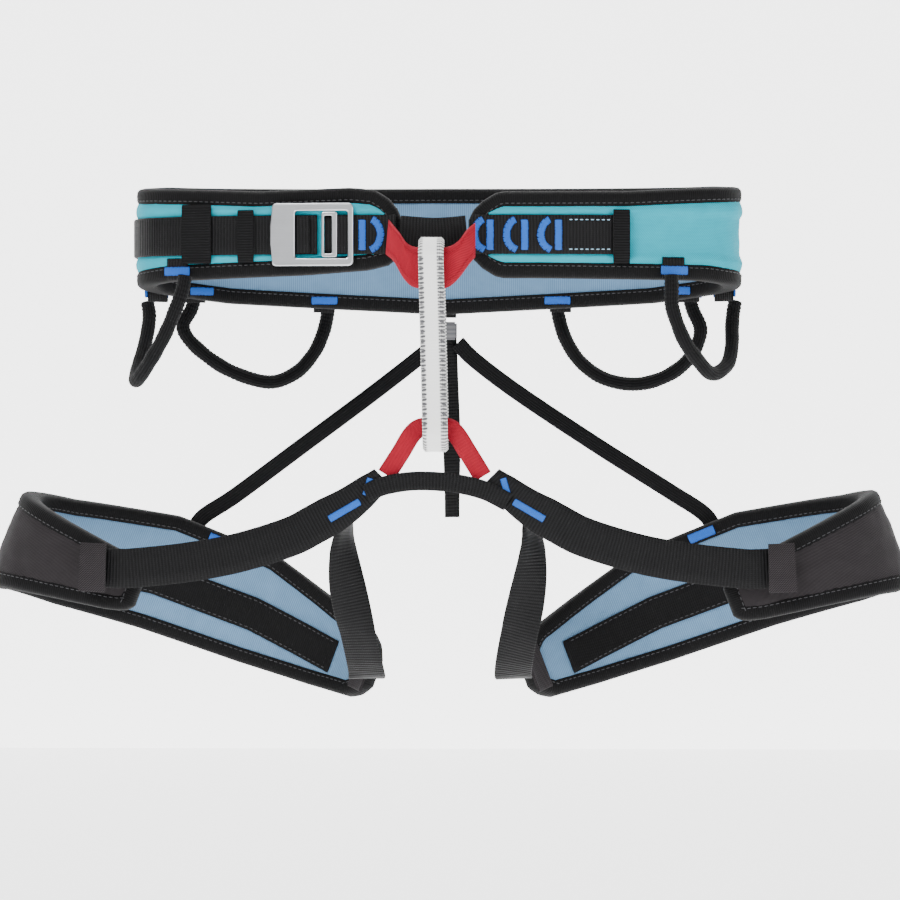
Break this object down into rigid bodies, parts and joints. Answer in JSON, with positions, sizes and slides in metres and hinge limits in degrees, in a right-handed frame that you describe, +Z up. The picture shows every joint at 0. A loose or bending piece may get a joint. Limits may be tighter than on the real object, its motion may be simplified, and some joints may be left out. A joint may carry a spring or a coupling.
{
  "type": "climbing harness",
  "caption": "Sit harness for rope climbing: padded waist belt with a metal buckle, padded leg loops, a belay loop on tie-in strips, elastic risers and gear loops.",
  "frame": {"origin": "centre of the waist ring, at the middle of the waist webbing's height", "axes": "+Z up along the wearer's spine, -Y towards the belay loop at the front, +X to the side without the buckle"},
  "size_m": [0.5955, 0.1735, 0.334],
  "materials": {
    "turquoise_fabric": "woven, matt",
    "lining_mesh": "soft knit, matt",
    "charcoal_fabric": "woven, matt",
    "black_webbing": "ribbed webbing",
    "foam": "closed-cell foam",
    "red_webbing": "smooth woven webbing",
    "white_webbing": "smooth woven webbing",
    "alloy": "satin",
    "grey_plastic": "moulded"
  },
  "bodies": {
    "waist": {"waist_face_fabric": "turquoise_fabric", "waist_foam_core": "foam", "waist_lining": "lining_mesh", "waist_binding": "black_webbing", "waist_webbing_adjust": "black_webbing", "waist_webbing_left_sewn": "black_webbing", "waist_webbing_right": "black_webbing", "waist_webbing_bridge": "black_webbing", "waist_keeper_wide": "black_webbing", "waist_keeper_narrow": "black_webbing", "waist_keeper_right": "black_webbing", "waist_buckle_frame": "alloy", "waist_buckle_slide_bar": "alloy", "upper_tie_in_strip": "red_webbing", "riser_anchor_tab": "black_webbing", "gear_tab_rear_left_a": "black_webbing", "gear_tab_rear_left_b": "black_webbing", "gear_tab_rear_right_a": "black_webbing", "gear_tab_rear_right_b": "black_webbing", "gear_tab_front_left_a": "black_webbing", "gear_tab_front_left_b": "black_webbing", "gear_tab_front_right_a": "black_webbing", "gear_tab_front_right_b": "black_webbing"},
    "belay": {"belay_loop": "white_webbing"},
    "legs": {"leg_face_fabric_left": "charcoal_fabric", "leg_foam_core_left": "foam", "leg_lining_left": "lining_mesh", "leg_binding_left": "black_webbing", "leg_front_webbing_left": "black_webbing", "leg_inner_strap_left": "black_webbing", "leg_keeper_left": "black_webbing", "leg_centre_strip_left": "black_webbing", "leg_end_loop_left": "charcoal_fabric", "leg_face_fabric_right": "charcoal_fabric", "leg_foam_core_right": "foam", "leg_lining_right": "lining_mesh", "leg_binding_right": "black_webbing", "leg_front_webbing_right": "black_webbing", "leg_inner_strap_right": "black_webbing", "leg_keeper_right": "black_webbing", "leg_centre_strip_right": "black_webbing", "leg_end_loop_right": "charcoal_fabric", "lower_tie_in_strip": "red_webbing", "leg_bridge_webbing": "black_webbing"},
    "risers": {"riser_hanger": "grey_plastic", "riser_strap_left": "black_webbing", "riser_strap_right": "black_webbing"},
    "riser_tail": {"riser_tail": "black_webbing"},
    "gear_loop_rear_left": {"gear_loop_rear_left": "black_webbing"},
    "gear_loop_rear_right": {"gear_loop_rear_right": "black_webbing"},
    "gear_loop_front_left": {"gear_loop_front_left": "black_webbing"},
    "gear_loop_front_right": {"gear_loop_front_right": "black_webbing"}
  },
  "joints": [
    {"name": "belay_swing", "type": "hinge", "parent": "waist", "child": "belay", "pos_m": [0, -0.084, -0.0218], "axis": [1, 0, 0], "range_deg": [-12, 12]},
    {"name": "legs_level", "type": "hinge", "parent": "belay", "child": "legs", "pos_m": [0, -0.084, -0.123], "axis": [1, 0, 0], "range_deg": [-12, 12]},
    {"name": "risers_swing", "type": "hinge", "parent": "waist", "child": "risers", "pos_m": [0.003, 0.069, -0.052], "axis": [1, 0, 0], "range_deg": [-9.5, 9.5]},
    {"name": "riser_tail_swing", "type": "hinge", "parent": "risers", "child": "riser_tail", "pos_m": [0.003, 0.073, -0.058], "axis": [1, 0, 0], "range_deg": [-5, 30]},
    {"name": "gear_rear_left_lift", "type": "hinge", "parent": "waist", "child": "gear_loop_rear_left", "pos_m": [-0.163, 0.052, -0.042], "axis": [0.9718, 0.226, -0.0678], "range_deg": [0, 50]},
    {"name": "gear_rear_right_lift", "type": "hinge", "parent": "waist", "child": "gear_loop_rear_right", "pos_m": [0.163, 0.052, -0.042], "axis": [0.9718, -0.226, 0.0678], "range_deg": [0, 50]},
    {"name": "gear_front_left_lift", "type": "hinge", "parent": "waist", "child": "gear_loop_front_left", "pos_m": [-0.16, -0.057, -0.031], "axis": [-0.3158, 0.9312, -0.182], "range_deg": [0, 50]},
    {"name": "gear_front_right_lift", "type": "hinge", "parent": "waist", "child": "gear_loop_front_right", "pos_m": [0.15, -0.059, -0.031], "axis": [-0.3917, -0.9056, 0.1628], "range_deg": [0, 50]}
  ],
  "couplings": [
    {"joint": "legs_level", "follows": "belay_swing", "ratio": -1},
    {"joint": "risers_swing", "follows": "belay_swing", "ratio": 0.743}
  ]
}
